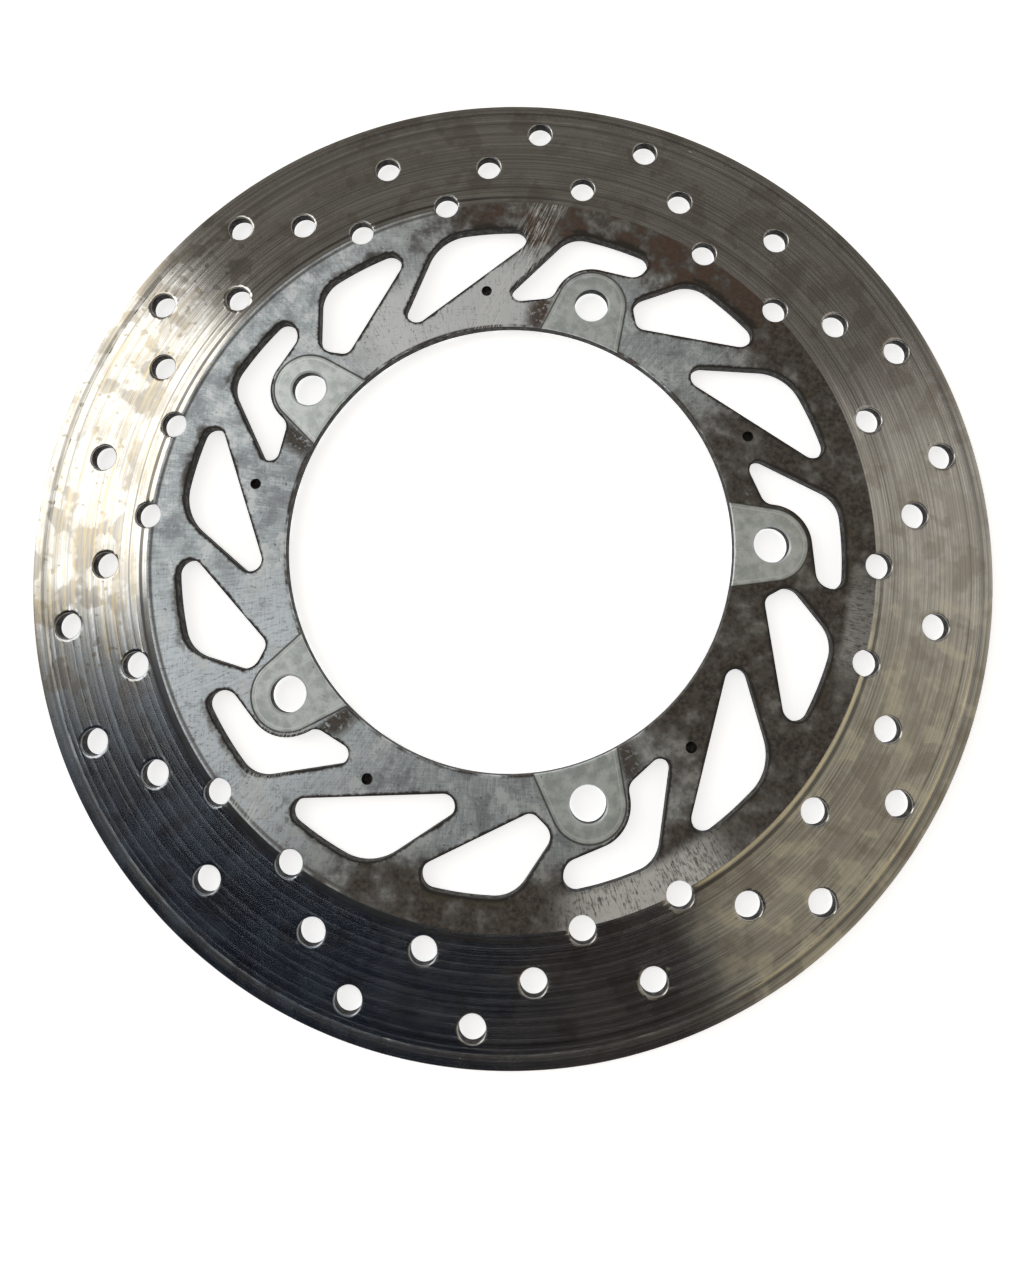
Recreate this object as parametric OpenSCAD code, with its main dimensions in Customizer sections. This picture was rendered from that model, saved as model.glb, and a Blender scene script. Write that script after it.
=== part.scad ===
// Front brake disc rotor for a light motorcycle: one flat steel disc, drawn as its
// friction band, its windowed carrier and its five mounting lugs.
// Frame: origin on the disc axis at mid thickness, +Z out of the face that meets
// the wheel hub, bolt hole 1 on +Y. All sizes are in millimetres.

/* [Disc] */
// Outside diameter
disc_d = 245; // [240:1:250]
// Thickness of the steel where nothing has worn it
disc_t = 4; // [3.5:0.1:5]
// Diameter of the centre bore, which sits on the wheel hub
bore_d = 115; // [113:0.5:116]
// Chamfer on the rim, the bore and the bolt holes
edge_chamfer = 0.3; // [0.1:0.05:0.5]

/* [Friction band] */
// Inner diameter of the band that the brake pads sweep
band_inner_d = 189.6; // [184:0.2:190]
// Depth that the pads have worn into each face
wear_depth = 0.15; // [0.05:0.05:0.4]
// Width of the unswept lip at the rim
lip_w = 2; // [1:0.25:3]
// Width of the slope between the lip and the swept face
lip_slope_w = 0.6; // [0.3:0.1:1]

/* [Band holes] */
// Diameter of the holes in the friction band
band_hole_d = 6.5; // [5.5:0.1:7]
// Number of holes round the band, a multiple of eight
band_hole_count = 48; // [40:8:56]
// Radius of the innermost of the five rows of holes
first_row_r = 94; // [93:0.25:95]
// Radial distance from one row to the next
row_pitch = 5; // [4.5:0.1:5.2]

/* [Hub mounting] */
// Number of bolts, and of window groups
bolt_count = 5; // [5:1:5]
// Diameter of the bolt circle
bolt_circle_d = 134; // [133:0.25:135]
// Diameter of a bolt hole
bolt_hole_d = 9; // [8:0.1:10]
// Radius of a lug's round end about its bolt hole
lug_r = 9.2; // [8.5:0.1:9.6]
// Angle that each side of a lug leans out towards the bore
lug_flare = 8; // [4:1:9]

/* [Windows] */
// Radius of the circle that every window reaches out to
window_reach_r = 85.6; // [85:0.1:86.4]
// Clear radius that the hooked window leaves round the bolt hole
hook_clear_r = 10.4; // [10.1:0.1:10.6]

/* [Dimples] */
// Diameter of the small blind dimple between two lugs
dimple_d = 2.8; // [2:0.1:3.5]
// Depth of the dimple
dimple_depth = 1.2; // [0.5:0.1:1.6]
// Distance of the dimple from the disc axis
dimple_r = 67.8; // [67:0.2:69]
// Angle of the dimple past its bolt hole
dimple_angle = 24.5; // [23.5:0.5:25.5]

/* [Hidden] */

fn_disc = 240;
fn_hole = 64;
arc_steps = 10;
lug_steps = 30;
overrun = 1;

disc_r = disc_d / 2;
bore_r = bore_d / 2;
band_inner_r = band_inner_d / 2;
bolt_circle_r = bolt_circle_d / 2;
top_z = disc_t / 2;
swept_z = top_z - wear_depth;
cut_t = disc_t + 2 * overrun;

bolt_pitch = 360 / bolt_count;
band_hole_pitch = 360 / band_hole_count;

// Row of each hole in a run of eight, counted from the innermost row outwards
row_order = [4, 1, 4, 2, 0, 3, 0, 2];

steel = [0.62, 0.62, 0.61];
swept_steel = [0.72, 0.70, 0.66];
clean_steel = [0.68, 0.71, 0.72];

// A window's corners are [x, y, corner radius], counter-clockwise, in a frame whose
// origin is the disc axis and whose +Y runs through the window group's bolt hole.

// Long hooked window that bends round the lug
function hook_window() = concat(
    rim_corners(84.6, 94.6, 4.0, 4.9, 3.0, 8.0),
    [[-24.4, 59.4, 2.4], [-10.6, 65.6, 3.4]],
    [hook_corner(95, 173)],
    [[9.7, 78.2, 4.0]]
);

// Slanted three-sided window, next counter-clockwise
function blade_window() = concat(
    rim_corners(108.5, 116.4, 9.3, 8.7, 3.1, 12.5),
    [[-47.4, 39.5, 2.9]]
);

// Broad five-sided window, next clockwise
function wedge_window() = concat(
    rim_corners(61.5, 70.5, 11.2, 5.2, 3.4, 9.0),
    [[9.8, 71.6, 4.0], [13.6, 64.7, 2.6]]
);

function polar(r, a) = [r * cos(a), r * sin(a)];

// Three corners whose middle one is an arc of the reach circle from angle a to
// angle b. The outer two lie past the arc's ends, along its tangents.
function rim_corners(a, b, run_a, run_b, corner_a, corner_b) =
    let (
        from = polar(window_reach_r, a) + run_a * [sin(a), -cos(a)],
        mid = polar(window_reach_r / cos((b - a) / 2), (a + b) / 2),
        to = polar(window_reach_r, b) + run_b * [-sin(b), cos(b)]
    )
    [[from.x, from.y, corner_a], [mid.x, mid.y, window_reach_r], [to.x, to.y, corner_b]];

// Corner whose rounding is an arc about the bolt hole from angle a to angle b
function hook_corner(a, b) =
    let (p = [0, bolt_circle_r] + polar(hook_clear_r / cos((b - a) / 2), (a + b) / 2))
    [p.x, p.y, hook_clear_r];

function flat(corner) = [corner.x, corner.y];
function unit(v) = v / norm(v);
function cross_z(u, v) = u.x * v.y - u.y * v.x;

// Points of the arc that rounds corner c, between its neighbours p and q
function corner_arc(p, c, q) =
    let (
        to_p = unit(flat(p) - flat(c)),
        to_q = unit(flat(q) - flat(c)),
        half = acos(to_p * to_q) / 2,
        centre = flat(c) + unit(to_p + to_q) * c.z / sin(half),
        start = flat(c) + to_p * c.z / tan(half) - centre,
        sweep = (180 - 2 * half) * sign(cross_z(to_q, to_p)),
        from = atan2(start.y, start.x)
    )
    [for (k = [0 : arc_steps]) centre + polar(c.z, from + sweep * k / arc_steps)];

function rounded(corners) =
    let (n = len(corners))
    [for (i = [0 : n - 1]) each corner_arc(corners[(i + n - 1) % n], corners[i], corners[(i + 1) % n])];

module through_cut() {
    translate([0, 0, -cut_t / 2])
        linear_extrude(cut_t)
            children();
}

module windows() {
    for (k = [0 : bolt_count - 1])
        for (window = [hook_window(), blade_window(), wedge_window()])
            rotate(k * bolt_pitch)
                through_cut()
                    polygon(rounded(window));
}

module band_holes() {
    for (k = [0 : band_hole_count - 1])
        rotate(k * band_hole_pitch)
            translate([0, first_row_r + row_pitch * row_order[k % len(row_order)], -cut_t / 2])
                cylinder(d = band_hole_d, h = cut_t, $fn = fn_hole);
}

// A straight hole of the stated radius with both its edges chamfered
module chamfered_hole(r, facets) {
    translate([0, 0, -cut_t / 2])
        cylinder(r = r, h = cut_t, $fn = facets);
    for (side = [0, 1])
        mirror([0, 0, side])
            translate([0, 0, top_z - edge_chamfer])
                cylinder(r1 = r, r2 = r + edge_chamfer + overrun, h = edge_chamfer + overrun, $fn = facets);
}

module centre_bore() {
    chamfered_hole(bore_r, fn_disc);
}

// Lug outline: a round end about the bolt hole and two sides that flare towards the
// bore, ending inside it
function lug_outline() =
    let (
        shoulder = [0, bolt_circle_r] + polar(lug_r, lug_flare),
        foot_y = bore_r - 5 * overrun,
        foot_x = shoulder.x + (shoulder.y - foot_y) * tan(lug_flare),
        step = (180 - 2 * lug_flare) / lug_steps
    )
    concat(
        [for (k = [0 : lug_steps]) [0, bolt_circle_r] + polar(lug_r, lug_flare + k * step)],
        [[-foot_x, foot_y], [foot_x, foot_y]]
    );

module lug_block(t) {
    translate([0, 0, -t / 2])
        linear_extrude(t)
            polygon(lug_outline());
}

module dimple() {
    rotate(dimple_angle)
        translate([0, dimple_r, top_z - dimple_depth])
            cylinder(d = dimple_d, h = dimple_depth + overrun, $fn = fn_hole);
}

module friction_band() {
    lip_r = disc_r - lip_w;
    color(swept_steel)
        difference() {
            rotate_extrude($fn = fn_disc)
                polygon([
                    [band_inner_r, -swept_z], [lip_r - lip_slope_w, -swept_z], [lip_r, -top_z],
                    [disc_r - edge_chamfer, -top_z], [disc_r, -top_z + edge_chamfer],
                    [disc_r, top_z - edge_chamfer], [disc_r - edge_chamfer, top_z],
                    [lip_r, top_z], [lip_r - lip_slope_w, swept_z], [band_inner_r, swept_z]
                ]);
            band_holes();
        }
}

module carrier() {
    color(steel)
        difference() {
            translate([0, 0, -top_z])
                cylinder(r = band_inner_r, h = disc_t, $fn = fn_disc);
            centre_bore();
            windows();
            band_holes();
            for (k = [0 : bolt_count - 1])
                rotate(k * bolt_pitch) {
                    lug_block(cut_t);
                    dimple();
                }
        }
}

module mounting_lug(number) {
    color(clean_steel)
        rotate((number - 1) * bolt_pitch)
            difference() {
                lug_block(disc_t);
                centre_bore();
                translate([0, bolt_circle_r, 0])
                    chamfered_hole(bolt_hole_d / 2, fn_hole);
            }
}

module mounting_lug_1() { mounting_lug(1); }
module mounting_lug_2() { mounting_lug(2); }
module mounting_lug_3() { mounting_lug(3); }
module mounting_lug_4() { mounting_lug(4); }
module mounting_lug_5() { mounting_lug(5); }

friction_band();
carrier();
mounting_lug_1();
mounting_lug_2();
mounting_lug_3();
mounting_lug_4();
mounting_lug_5();
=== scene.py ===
"""Looks of a used front brake disc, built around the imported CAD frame.

Every outline is worked out from the same few sizes as the CAD part, in millimetres, in the
disc's own frame: origin on the axis at mid thickness, +Z out of the hub side, bolt hole 1 on
+Y. Meshes are scaled to metres as they are made. Angles are degrees, counter-clockwise from +X.
"""

import math

import bpy
import numpy as np
from mathutils import Matrix, Vector, noise
from mathutils.geometry import delaunay_2d_cdt


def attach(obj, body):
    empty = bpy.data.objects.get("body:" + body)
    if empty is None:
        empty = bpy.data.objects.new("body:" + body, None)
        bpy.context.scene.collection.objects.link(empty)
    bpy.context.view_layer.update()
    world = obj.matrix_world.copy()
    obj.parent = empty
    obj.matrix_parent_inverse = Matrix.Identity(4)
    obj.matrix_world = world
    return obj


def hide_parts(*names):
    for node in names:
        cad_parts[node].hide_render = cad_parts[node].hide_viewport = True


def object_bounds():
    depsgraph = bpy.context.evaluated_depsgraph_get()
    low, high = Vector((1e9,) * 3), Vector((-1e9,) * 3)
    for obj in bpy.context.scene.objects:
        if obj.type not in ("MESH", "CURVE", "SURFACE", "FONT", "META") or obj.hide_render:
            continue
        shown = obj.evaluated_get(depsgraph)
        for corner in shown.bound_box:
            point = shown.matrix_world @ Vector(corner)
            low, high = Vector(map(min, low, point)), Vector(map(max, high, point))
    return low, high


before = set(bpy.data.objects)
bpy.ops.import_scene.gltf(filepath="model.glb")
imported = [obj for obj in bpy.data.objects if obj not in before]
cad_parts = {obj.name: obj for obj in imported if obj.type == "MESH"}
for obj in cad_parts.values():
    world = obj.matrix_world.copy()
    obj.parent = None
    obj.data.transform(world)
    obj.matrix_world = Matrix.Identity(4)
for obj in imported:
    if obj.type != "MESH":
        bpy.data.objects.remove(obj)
cad_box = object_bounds()

MM = 0.001

# ---------------------------------------------------------------- sizes of the disc, in mm

DISC_R = cad_box[1].x / MM
FACE_Z = cad_box[1].z / MM
BORE_R = 57.5
STEP_R = 94.8
STEP_SLOPE_W = 0.8
WEAR_DEPTH = 0.15
LIP_W = 2.0
LIP_SLOPE_W = 1.4
EDGE_R = 0.3

# The wear grooves fade out within this distance of a band hole.
HOLE_FLAT_W = 0.9

# The band holes stand in five rows, and ROW_ORDER repeats round the disc.
BAND_HOLE_R = 3.25
BAND_HOLE_COUNT = 48
FIRST_ROW_R = 94.0
ROW_PITCH = 5.0
ROW_ORDER = [4, 1, 4, 2, 0, 3, 0, 2]

BOLT_COUNT = 5
BOLT_CIRCLE_R = 67.0
BOLT_HOLE_R = 4.5
BOLT_PITCH = 360 / BOLT_COUNT
COUNTERSINK_W = 0.45

# A lug is round beyond its bolt hole. Its sides flare by LUG_FLARE degrees, down to a foot
# inside the bore, and a seam runs round it.
LUG_R = 9.2
LUG_FLARE = 8
LUG_FOOT_DEPTH = 5
SEAM_W = 0.12
SEAM_DEPTH = 0.06

# How far out the windows reach, and how far the hook windows keep from a bolt's centre.
WINDOW_REACH_R = 85.6
HOOK_CLEAR_R = 10.4

# Blind dimples, at DIMPLE_ANGLE past each bolt hole. DIMPLE_FLOOR is the share of its radius
# within which a dimple is flat.
DIMPLE_R = 1.4
DIMPLE_DEPTH = 1.2
DIMPLE_CIRCLE_R = 67.8
DIMPLE_ANGLE = 24.5
DIMPLE_FLOOR = 0.75

# The narrow bright land inside the step, and the dirt line inside the land: half its width,
# and half of its flat floor. Further in the carrier is a little lower than the land.
LAND_INNER_R = 93.3
LAND_SLOPE_W = 0.3
DIRT_LINE_R = 92.4
DIRT_LINE_DEPTH = 0.05
DIRT_LINE_HALF = 0.2
DIRT_LINE_FLOOR = 0.05
CARRIER_RECESS = 0.04

# The recessed face is uneven by this share of the recess, with features of this size. The
# last value picks one pattern among many.
UNEVEN_SHARE = 0.8
UNEVEN_SIZE = 7.0
UNEVEN_START = Vector((17.3, 9.1, 4.7))

# How far from an outline its grime, seam and painted highlight are worked out.
GRIME_REACH = 6.0
SEAM_REACH = 2.0
BOLT_HIGHLIGHT_REACH = 2.0

# The grime on the outer side of a window starts between these radii.
OUTER_SIDE_R = (WINDOW_REACH_R - 0.8, WINDOW_REACH_R + 0.4)

# The packed dirt beside lug 1: its middle, half its length and height, and between which
# shares of those it fades.
PACKED_DIRT = (-12.4, 60.5)
PACKED_DIRT_HALF = (4.2, 7.5)
PACKED_DIRT_FADE = (0.5, 1.1)

# Wear grooves of the swept band: middle radius, width and depth. Within this share of its
# width from the middle, a groove is flat.
GROOVE_FLOOR = 0.2
GROOVES = [
    (96.3, 0.6, 0.025),
    (97.8, 0.5, 0.025),
    (100.1, 0.9, 0.035),
    (101.9, 0.5, 0.020),
    (104.6, 0.8, 0.030),
    (107.3, 1.0, 0.040),
    (109.0, 0.5, 0.020),
    (111.4, 0.8, 0.030),
    (113.2, 0.6, 0.025),
    (115.7, 0.9, 0.035),
    (117.8, 0.6, 0.030),
    (119.0, 0.5, 0.025),
]

# ---------------------------------------------------------------- fineness of the meshes

# How many points the loops have, and how many steps the arc of a lug.
RING_POINTS = 360
RIM_POINTS = 720
BAND_HOLE_POINTS = 56
BOLT_HOLE_POINTS = 64
DIMPLE_POINTS = 24
LUG_ARC_STEPS = 48

# Loops run round the openings at these distances, where the worn edges bend, and round the
# lugs' seams and bolt holes at these.
EDGE_STEPS = [EDGE_R * share for share in (0.0, 0.15, 0.5, 1.0)]
SEAM_STEPS = (0.0, SEAM_W, 0.5)
LUG_STEPS = (*SEAM_STEPS, 1.2)
BOLT_STEPS = (0.0, COUNTERSINK_W, 1.0, 1.6)

# The pitch of the grid between the loops, and how far the grid keeps from them.
GRID = 1.1
OPENING_GAP = 0.6
OUTLINE_GAP = 0.8
DIMPLE_GAP = 0.4
LUG_GAP = 2.0
BOLT_GAP = 2.0

# The middle of a kept triangle may lie this far over an outline, to allow for rounding.
# Points closer than TOO_CLOSE are joined, and triangles of less than TOO_THIN are dropped.
ON_EDGE = 2e-3
TOO_CLOSE = 1e-5
TOO_THIN = 1e-9

# Edges that bend by more than this many degrees are shaded sharp.
SHARP_ANGLE = 40

# ---------------------------------------------------------------- outlines


def polar(r, angle, centre=(0.0, 0.0)):
    a = math.radians(angle)
    return (centre[0] + r * math.cos(a), centre[1] + r * math.sin(a))


def circle(r, count, centre=(0.0, 0.0)):
    return [polar(r, 360 * k / count, centre) for k in range(count)]


def turned(points, angle):
    c, s = math.cos(math.radians(angle)), math.sin(math.radians(angle))
    return [(x * c - y * s, x * s + y * c) for x, y in points]


def rim_corners(start, end, runs, fillets):
    """The corners of a window's outer side. It follows WINDOW_REACH_R between two angles, runs
    on straight past each of them, and has a filleted corner at each end."""
    from_x, from_y = polar(WINDOW_REACH_R, start)
    to_x, to_y = polar(WINDOW_REACH_R, end)
    mid = polar(WINDOW_REACH_R / math.cos(math.radians((end - start) / 2)), (start + end) / 2)
    a, b = math.radians(start), math.radians(end)
    return [
        (from_x + runs[0] * math.sin(a), from_y - runs[0] * math.cos(a), fillets[0]),
        (mid[0], mid[1], WINDOW_REACH_R),
        (to_x - runs[1] * math.sin(b), to_y + runs[1] * math.cos(b), fillets[1]),
    ]


def hook_corner(start, end):
    """The corner of a window that curls round a bolt hole at HOOK_CLEAR_R."""
    reach = HOOK_CLEAR_R / math.cos(math.radians((end - start) / 2))
    x, y = polar(reach, (start + end) / 2, (0.0, BOLT_CIRCLE_R))
    return (x, y, HOOK_CLEAR_R)


def rounded(corners, spacing=0.6, fewest=8):
    """A closed outline from (x, y, fillet radius) corners. Each fillet has a step for every
    spacing mm of its arc, and no fewer than fewest."""
    points = []
    for i, (x, y, r) in enumerate(corners):
        corner = np.array((x, y))
        back = np.array(corners[i - 1][:2]) - corner
        ahead = np.array(corners[(i + 1) % len(corners)][:2]) - corner
        back /= np.linalg.norm(back)
        ahead /= np.linalg.norm(ahead)
        half = math.acos(np.clip(back @ ahead, -1, 1)) / 2
        middle = back + ahead
        centre = corner + middle / np.linalg.norm(middle) * r / math.sin(half)
        reach = r / math.tan(half)
        first = corner + back * reach - centre
        last = corner + ahead * reach - centre
        start = math.atan2(first[1], first[0])
        sweep = (math.atan2(last[1], last[0]) - start + math.pi) % (2 * math.pi) - math.pi
        steps = max(fewest, round(abs(sweep) * r / spacing))
        for k in range(steps + 1):
            a = start + sweep * k / steps
            points.append((centre[0] + r * math.cos(a), centre[1] + r * math.sin(a)))
    return points


def hook_window():
    """The window that curls round bolt hole 1."""
    outer = rim_corners(84.6, 94.6, runs=(4.0, 4.9), fillets=(3.0, 8.0))
    inner = [(-24.4, 59.4, 2.4), (-10.6, 65.6, 3.4), hook_corner(95, 173), (9.7, 78.2, 4.0)]
    return rounded(outer + inner)


def blade_window():
    """The long three-cornered window after the hook."""
    outer = rim_corners(108.5, 116.4, runs=(9.3, 8.7), fillets=(3.1, 12.5))
    return rounded(outer + [(-47.4, 39.5, 2.9)])


def wedge_window():
    """The blunt window before the hook."""
    outer = rim_corners(61.5, 70.5, runs=(11.2, 5.2), fillets=(3.4, 9.0))
    return rounded(outer + [(9.8, 71.6, 4.0), (13.6, 64.7, 2.6)])


def lug_outline():
    """Round bolt hole 1, with sides that flare down to a foot inside the bore."""
    span = 180 - 2 * LUG_FLARE
    angles = [LUG_FLARE + span * k / LUG_ARC_STEPS for k in range(LUG_ARC_STEPS + 1)]
    arc = [polar(LUG_R, angle, (0.0, BOLT_CIRCLE_R)) for angle in angles]
    foot_y = BORE_R - LUG_FOOT_DEPTH
    foot_x = arc[0][0] + (arc[0][1] - foot_y) * math.tan(math.radians(LUG_FLARE))
    return [*arc, (-foot_x, foot_y), (foot_x, foot_y)]


def inset_loop(points, distance):
    """A counter-clockwise outline moved inwards by distance, or outwards where it is negative."""
    p = np.array(points)
    ahead = np.roll(p, -1, 0) - p
    ahead /= np.linalg.norm(ahead, axis=1)[:, None]
    behind = np.roll(ahead, 1, 0)
    normal = np.stack([-(ahead + behind)[:, 1], (ahead + behind)[:, 0]], 1)
    normal /= np.linalg.norm(normal, axis=1)[:, None]
    return [tuple(q) for q in p + normal * distance]


WINDOWS = [
    turned(outline, BOLT_PITCH * k)
    for outline in (hook_window(), blade_window(), wedge_window())
    for k in range(BOLT_COUNT)
]
BAND_HOLES = [
    polar(FIRST_ROW_R + ROW_PITCH * ROW_ORDER[k % len(ROW_ORDER)], 90 + 360 * k / BAND_HOLE_COUNT)
    for k in range(BAND_HOLE_COUNT)
]
LUGS = [turned(lug_outline(), BOLT_PITCH * k) for k in range(BOLT_COUNT)]
BOLTS = [polar(BOLT_CIRCLE_R, 90 + BOLT_PITCH * k) for k in range(BOLT_COUNT)]
DIMPLES = [polar(DIMPLE_CIRCLE_R, 90 + DIMPLE_ANGLE + BOLT_PITCH * k) for k in range(BOLT_COUNT)]

# ---------------------------------------------------------------- distances, for heights


def radius_of(p):
    return np.hypot(p[:, 0], p[:, 1])


def to_circles(p, centres, r):
    """How far each point lies outside the nearest of the circles."""
    best = np.full(len(p), 1e9)
    for x, y in centres:
        best = np.minimum(best, np.hypot(p[:, 0] - x, p[:, 1] - y) - r)
    return best


def within(p, outline):
    """Whether each point lies inside the outline."""
    inside = np.zeros(len(p), bool)
    for (x1, y1), (x2, y2) in zip(outline, outline[1:] + outline[:1]):
        if y1 != y2:
            crosses = (y1 > p[:, 1]) != (y2 > p[:, 1])
            inside ^= crosses & (p[:, 0] < (x2 - x1) * (p[:, 1] - y1) / (y2 - y1) + x1)
    return inside


def to_outlines(p, outlines, reach=1.5):
    """How far each point lies from the nearest outline, up to reach."""
    best = np.full(len(p), reach)
    for outline in outlines:
        a = np.array(outline)
        lo, hi = a.min(0) - reach, a.max(0) + reach
        near = np.nonzero(((p > lo) & (p < hi)).all(1))[0]
        q = p[near]
        found = best[near]
        for start, end in zip(a, np.roll(a, -1, 0)):
            along = end - start
            t = np.clip(((q - start) @ along) / max(along @ along, 1e-12), 0, 1)
            gap = q - start - t[:, None] * along
            found = np.minimum(found, np.hypot(gap[:, 0], gap[:, 1]))
        best[near] = found
    return best


def edge_drop(distance, r=EDGE_R):
    """How far a worn edge of radius r has dropped, at a distance from the wall."""
    d = np.clip(distance, 0, r)
    return r - np.sqrt(r * r - (r - d) ** 2)


def slope(value, start, end):
    return np.clip((value - start) / (end - start), 0, 1)


# ---------------------------------------------------------------- plates


def grid_points(inner, outer, clear):
    """Points on a hexagonal grid between two radii, kept where clear(points) says so."""
    rows = np.arange(-outer, outer, GRID * math.sqrt(3) / 2)
    columns = np.arange(-outer, outer, GRID)
    points = np.array([(x + GRID / 2 * (i % 2), y) for i, y in enumerate(rows) for x in columns])
    r = radius_of(points)
    points = points[(r > inner) & (r < outer)]
    return points[clear(points)]


def plate(loops, loose, keep, top, bottom):
    """A closed solid: the kept triangles between the loops and the loose points, at heights
    top(p) and bottom(p), joined by walls. Returns vertices, triangles and how many are faces."""
    points, edges = [], []
    for loop in loops:
        base = len(points)
        points += [Vector(q) for q in loop]
        edges += [(base + i, base + (i + 1) % len(loop)) for i in range(len(loop))]
    points += [Vector(q) for q in loose]
    verts, _, faces, *_ = delaunay_2d_cdt(points, edges, [], 0, TOO_CLOSE)
    p = np.array([(v.x, v.y) for v in verts])
    tri = np.array([f for f in faces if len(f) == 3])
    a, b, c = p[tri[:, 0]], p[tri[:, 1]], p[tri[:, 2]]
    area = (b - a)[:, 0] * (c - a)[:, 1] - (b - a)[:, 1] * (c - a)[:, 0]
    tri = tri[keep(p[tri].mean(1)) & (np.abs(area) > TOO_THIN)]
    used = np.unique(tri)
    renumber = np.full(len(p), -1)
    renumber[used] = np.arange(len(used))
    p, tri = p[used], renumber[tri]
    n = len(p)
    solid = np.concatenate([np.column_stack([p, top(p)]), np.column_stack([p, bottom(p)])])
    sides = {(int(t[i]), int(t[(i + 1) % 3])) for t in tri for i in range(3)}
    walls = []
    for u, v in sorted(sides):
        if (v, u) not in sides:
            walls += [(u, v + n, v), (u, u + n, v + n)]
    triangles = [tuple(t) for t in tri]
    triangles += [(t[2] + n, t[1] + n, t[0] + n) for t in tri]
    return solid, triangles + walls, len(triangles)


def make_piece(name, node, made, materials, zone=None, marks=None):
    """A piece that stands for a CAD node. materials are the walls' and then the faces'; zone(p)
    picks among the faces' by their middles, and marks are values at the vertices for shading."""
    solid, triangles, face_count = made
    mesh = bpy.data.meshes.new(name)
    mesh.from_pydata([tuple(v) for v in solid * MM], [], triangles)
    for material in materials:
        mesh.materials.append(material)
    index = np.zeros(len(triangles), np.int32)
    middles = solid[np.array(triangles[:face_count])].mean(1)
    index[:face_count] = 1 if zone is None else zone(middles)
    mesh.polygons.foreach_set("material_index", index)
    for key, values in (marks or {}).items():
        mesh.attributes.new(key, "FLOAT", "POINT").data.foreach_set("value", values)
    mesh.shade_smooth()
    mesh.set_sharp_from_angle(angle=math.radians(SHARP_ANGLE))
    mesh.update()
    piece = bpy.data.objects.new(name, mesh)
    bpy.context.scene.collection.objects.link(piece)
    weighted = piece.modifiers.new("FlatFaces", "WEIGHTED_NORMAL")
    weighted.keep_sharp = True
    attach(piece, "root")
    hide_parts(node)
    return piece


def step_height(r):
    """How far the slope between the unworn land and the swept face has come down at r."""
    return WEAR_DEPTH * slope(r, STEP_R - STEP_SLOPE_W / 2, STEP_R + STEP_SLOPE_W / 2)


def band_height(p):
    """Height of the swept face: step slope, wear grooves, rim lip and worn edges."""
    r = radius_of(p)
    lip = DISC_R - LIP_W
    z = FACE_Z - step_height(r) + WEAR_DEPTH * slope(r, lip - LIP_SLOPE_W, lip)
    to_hole = to_circles(p, BAND_HOLES, BAND_HOLE_R)
    worn = slope(to_hole, EDGE_R, HOLE_FLAT_W)
    for middle, width, depth in GROOVES:
        z -= worn * depth * (1 - slope(np.abs(r - middle), width * GROOVE_FLOOR, width / 2))
    z -= edge_drop(to_hole)
    z -= edge_drop(DISC_R - r)
    return z


def ring_loops():
    """Loops where the swept face bends: at the step, the grooves and the lip."""
    lip = DISC_R - LIP_W
    radii = [STEP_R + STEP_SLOPE_W / 2, lip - LIP_SLOPE_W, lip]
    for middle, width, _ in GROOVES:
        radii += [middle + width * s for s in (-0.5, -GROOVE_FLOOR, GROOVE_FLOOR, 0.5)]
    return [circle(r, RING_POINTS) for r in radii]


def band_solid():
    loops = [circle(STEP_R, RING_POINTS)] + ring_loops()
    loops += [circle(DISC_R - d, RIM_POINTS) for d in EDGE_STEPS]
    for centre in BAND_HOLES:
        for d in (*EDGE_STEPS, HOLE_FLAT_W):
            loops.append(circle(BAND_HOLE_R + d, BAND_HOLE_POINTS, centre))

    def keep(c):
        outside_holes = to_circles(c, BAND_HOLES, BAND_HOLE_R) > -ON_EDGE
        return (radius_of(c) > STEP_R - ON_EDGE) & outside_holes

    return plate(loops, [], keep, band_height, lambda p: -band_height(p))


def uneven(p):
    """A smooth random value from -1 to 1 at each point."""
    places = [Vector((x / UNEVEN_SIZE, y / UNEVEN_SIZE, 0.0)) for x, y in p]
    return np.array([noise.noise(place + UNEVEN_START) for place in places])


def carrier_height(p, dimples=True):
    """Height of the carrier's face: the land, the recess inside it, seams and worn edges."""
    r = radius_of(p)
    low = 1 - slope(r, LAND_INNER_R - LAND_SLOPE_W, LAND_INNER_R)
    z = FACE_Z - step_height(r) - CARRIER_RECESS * low
    z += CARRIER_RECESS * UNEVEN_SHARE * low * uneven(p)
    off_line = slope(np.abs(r - DIRT_LINE_R), DIRT_LINE_FLOOR, DIRT_LINE_HALF)
    z -= DIRT_LINE_DEPTH * (1 - off_line)
    z -= edge_drop(to_outlines(p, WINDOWS))
    z -= edge_drop(r - BORE_R)
    z -= edge_drop(to_circles(p, BAND_HOLES, BAND_HOLE_R))
    z -= SEAM_DEPTH * (1 - slope(to_outlines(p, LUGS), 0, SEAM_W))
    if dimples:
        deep = 1 - slope(to_circles(p, DIMPLES, 0.0), DIMPLE_R * DIMPLE_FLOOR, DIMPLE_R)
        z -= (DIMPLE_DEPTH - CARRIER_RECESS) * deep
    return np.minimum(z, FACE_Z)


def outside_openings(c, margin):
    """Whether points lie over margin mm outside the bore, the band holes, windows and lugs."""
    kept = (radius_of(c) > BORE_R + margin) & (to_circles(c, BAND_HOLES, BAND_HOLE_R) > margin)
    for outline in WINDOWS + LUGS:
        kept &= ~within(c, outline)
    return kept


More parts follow.
